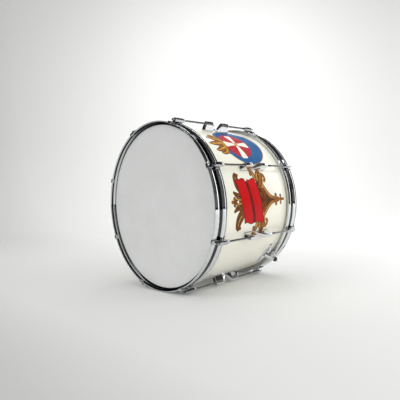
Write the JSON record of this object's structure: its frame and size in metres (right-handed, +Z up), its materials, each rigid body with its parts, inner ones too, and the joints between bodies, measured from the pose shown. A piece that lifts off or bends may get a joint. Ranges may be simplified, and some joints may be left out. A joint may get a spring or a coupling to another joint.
{
  "type": "bass drum",
  "caption": "Double-headed bass drum with pressed metal counter hoops, tension rods held by claws and double-ended lugs, and retractable spurs.",
  "frame": {"origin": "on the ground plane, midway between the two heads, below the middle of the drum, which lies on its hoops", "axes": "+Z up; +Y along the drum's axis from the batter head to the resonant head; +X to the right seen from the batter side"},
  "size_m": [0.53, 0.3938, 0.53],
  "materials": {
    "shell": "gloss ivory wrap over maple ply",
    "maple": "bare satin maple",
    "film": "white coated drumhead film",
    "chrome": "polished chrome plate",
    "aluminium": "plain satin aluminium",
    "rubber": "black rubber"
  },
  "bodies": {
    "drum": {"shell": "shell", "batter_head": "film", "resonant_head": "film", "air_vent": "chrome", "reinforcement_ring_front": "maple", "flesh_hoop_front": "aluminium", "counter_hoop_front": "chrome", "reinforcement_ring_rear": "maple", "flesh_hoop_rear": "aluminium", "counter_hoop_rear": "chrome", "lug_1": "chrome", "lug_2": "chrome", "lug_3": "chrome", "lug_4": "chrome", "lug_5": "chrome", "lug_6": "chrome", "lug_7": "chrome", "lug_8": "chrome", "claw_front_1": "chrome", "claw_front_2": "chrome", "claw_front_3": "chrome", "claw_front_4": "chrome", "claw_front_5": "chrome", "claw_front_6": "chrome", "claw_front_7": "chrome", "claw_front_8": "chrome", "claw_rear_1": "chrome", "claw_rear_2": "chrome", "claw_rear_3": "chrome", "claw_rear_4": "chrome", "claw_rear_5": "chrome", "claw_rear_6": "chrome", "claw_rear_7": "chrome", "claw_rear_8": "chrome", "spur_bracket_left": "chrome", "spur_bracket_right": "chrome"},
    "rod_front_1": {"rod_front_1": "chrome"},
    "rod_front_2": {"rod_front_2": "chrome"},
    "rod_front_3": {"rod_front_3": "chrome"},
    "rod_front_4": {"rod_front_4": "chrome"},
    "rod_front_5": {"rod_front_5": "chrome"},
    "rod_front_6": {"rod_front_6": "chrome"},
    "rod_front_7": {"rod_front_7": "chrome"},
    "rod_front_8": {"rod_front_8": "chrome"},
    "rod_rear_1": {"rod_rear_1": "chrome"},
    "rod_rear_2": {"rod_rear_2": "chrome"},
    "rod_rear_3": {"rod_rear_3": "chrome"},
    "rod_rear_4": {"rod_rear_4": "chrome"},
    "rod_rear_5": {"rod_rear_5": "chrome"},
    "rod_rear_6": {"rod_rear_6": "chrome"},
    "rod_rear_7": {"rod_rear_7": "chrome"},
    "rod_rear_8": {"rod_rear_8": "chrome"},
    "spur_leg_left": {"spur_leg_left": "chrome", "spur_tip_left": "rubber"},
    "spur_wing_screw_left": {"spur_wing_screw_left": "chrome"},
    "spur_leg_right": {"spur_leg_right": "chrome", "spur_tip_right": "rubber"},
    "spur_wing_screw_right": {"spur_wing_screw_right": "chrome"}
  },
  "joints": [
    {"name": "rod_front_1_turn", "type": "hinge", "parent": "drum", "child": "rod_front_1", "pos_m": [0.10516, -0.1788, 0.51888], "axis": [0, 1, 0], "continuous": true},
    {"name": "rod_front_2_turn", "type": "hinge", "parent": "drum", "child": "rod_front_2", "pos_m": [0.25388, -0.1788, 0.37016], "axis": [0, 1, 0], "continuous": true},
    {"name": "rod_front_3_turn", "type": "hinge", "parent": "drum", "child": "rod_front_3", "pos_m": [0.25388, -0.1788, 0.15984], "axis": [0, 1, 0], "continuous": true},
    {"name": "rod_front_4_turn", "type": "hinge", "parent": "drum", "child": "rod_front_4", "pos_m": [0.10516, -0.1788, 0.01112], "axis": [0, 1, 0], "continuous": true},
    {"name": "rod_front_5_turn", "type": "hinge", "parent": "drum", "child": "rod_front_5", "pos_m": [-0.10516, -0.1788, 0.01112], "axis": [0, 1, 0], "continuous": true},
    {"name": "rod_front_6_turn", "type": "hinge", "parent": "drum", "child": "rod_front_6", "pos_m": [-0.25388, -0.1788, 0.15984], "axis": [0, 1, 0], "continuous": true},
    {"name": "rod_front_7_turn", "type": "hinge", "parent": "drum", "child": "rod_front_7", "pos_m": [-0.25388, -0.1788, 0.37016], "axis": [0, 1, 0], "continuous": true},
    {"name": "rod_front_8_turn", "type": "hinge", "parent": "drum", "child": "rod_front_8", "pos_m": [-0.10516, -0.1788, 0.51888], "axis": [0, 1, 0], "continuous": true},
    {"name": "rod_rear_1_turn", "type": "hinge", "parent": "drum", "child": "rod_rear_1", "pos_m": [0.10516, 0.1788, 0.51888], "axis": [0, -1, 0], "continuous": true},
    {"name": "rod_rear_2_turn", "type": "hinge", "parent": "drum", "child": "rod_rear_2", "pos_m": [0.25388, 0.1788, 0.37016], "axis": [0, -1, 0], "continuous": true},
    {"name": "rod_rear_3_turn", "type": "hinge", "parent": "drum", "child": "rod_rear_3", "pos_m": [0.25388, 0.1788, 0.15984], "axis": [0, -1, 0], "continuous": true},
    {"name": "rod_rear_4_turn", "type": "hinge", "parent": "drum", "child": "rod_rear_4", "pos_m": [0.10516, 0.1788, 0.01112], "axis": [0, -1, 0], "continuous": true},
    {"name": "rod_rear_5_turn", "type": "hinge", "parent": "drum", "child": "rod_rear_5", "pos_m": [-0.10516, 0.1788, 0.01112], "axis": [0, -1, 0], "continuous": true},
    {"name": "rod_rear_6_turn", "type": "hinge", "parent": "drum", "child": "rod_rear_6", "pos_m": [-0.25388, 0.1788, 0.15984], "axis": [0, -1, 0], "continuous": true},
    {"name": "rod_rear_7_turn", "type": "hinge", "parent": "drum", "child": "rod_rear_7", "pos_m": [-0.25388, 0.1788, 0.37016], "axis": [0, -1, 0], "continuous": true},
    {"name": "rod_rear_8_turn", "type": "hinge", "parent": "drum", "child": "rod_rear_8", "pos_m": [-0.10516, 0.1788, 0.51888], "axis": [0, -1, 0], "continuous": true},
    {"name": "spur_slide_left", "type": "slide", "parent": "drum", "child": "spur_leg_left", "axis": [-0.5, 0.7071, -0.5], "range_m": [0, 0.15]},
    {"name": "wing_screw_turn_left", "type": "hinge", "parent": "drum", "child": "spur_wing_screw_left", "pos_m": [-0.19231, 0.12797, 0.07269], "axis": [0.7071, 0, -0.7071], "range_deg": [-360, 0]},
    {"name": "spur_slide_right", "type": "slide", "parent": "drum", "child": "spur_leg_right", "axis": [0.5, 0.7071, -0.5], "range_m": [0, 0.15]},
    {"name": "wing_screw_turn_right", "type": "hinge", "parent": "drum", "child": "spur_wing_screw_right", "pos_m": [0.19231, 0.12797, 0.07269], "axis": [-0.7071, 0, -0.7071], "range_deg": [-360, 0]}
  ]
}
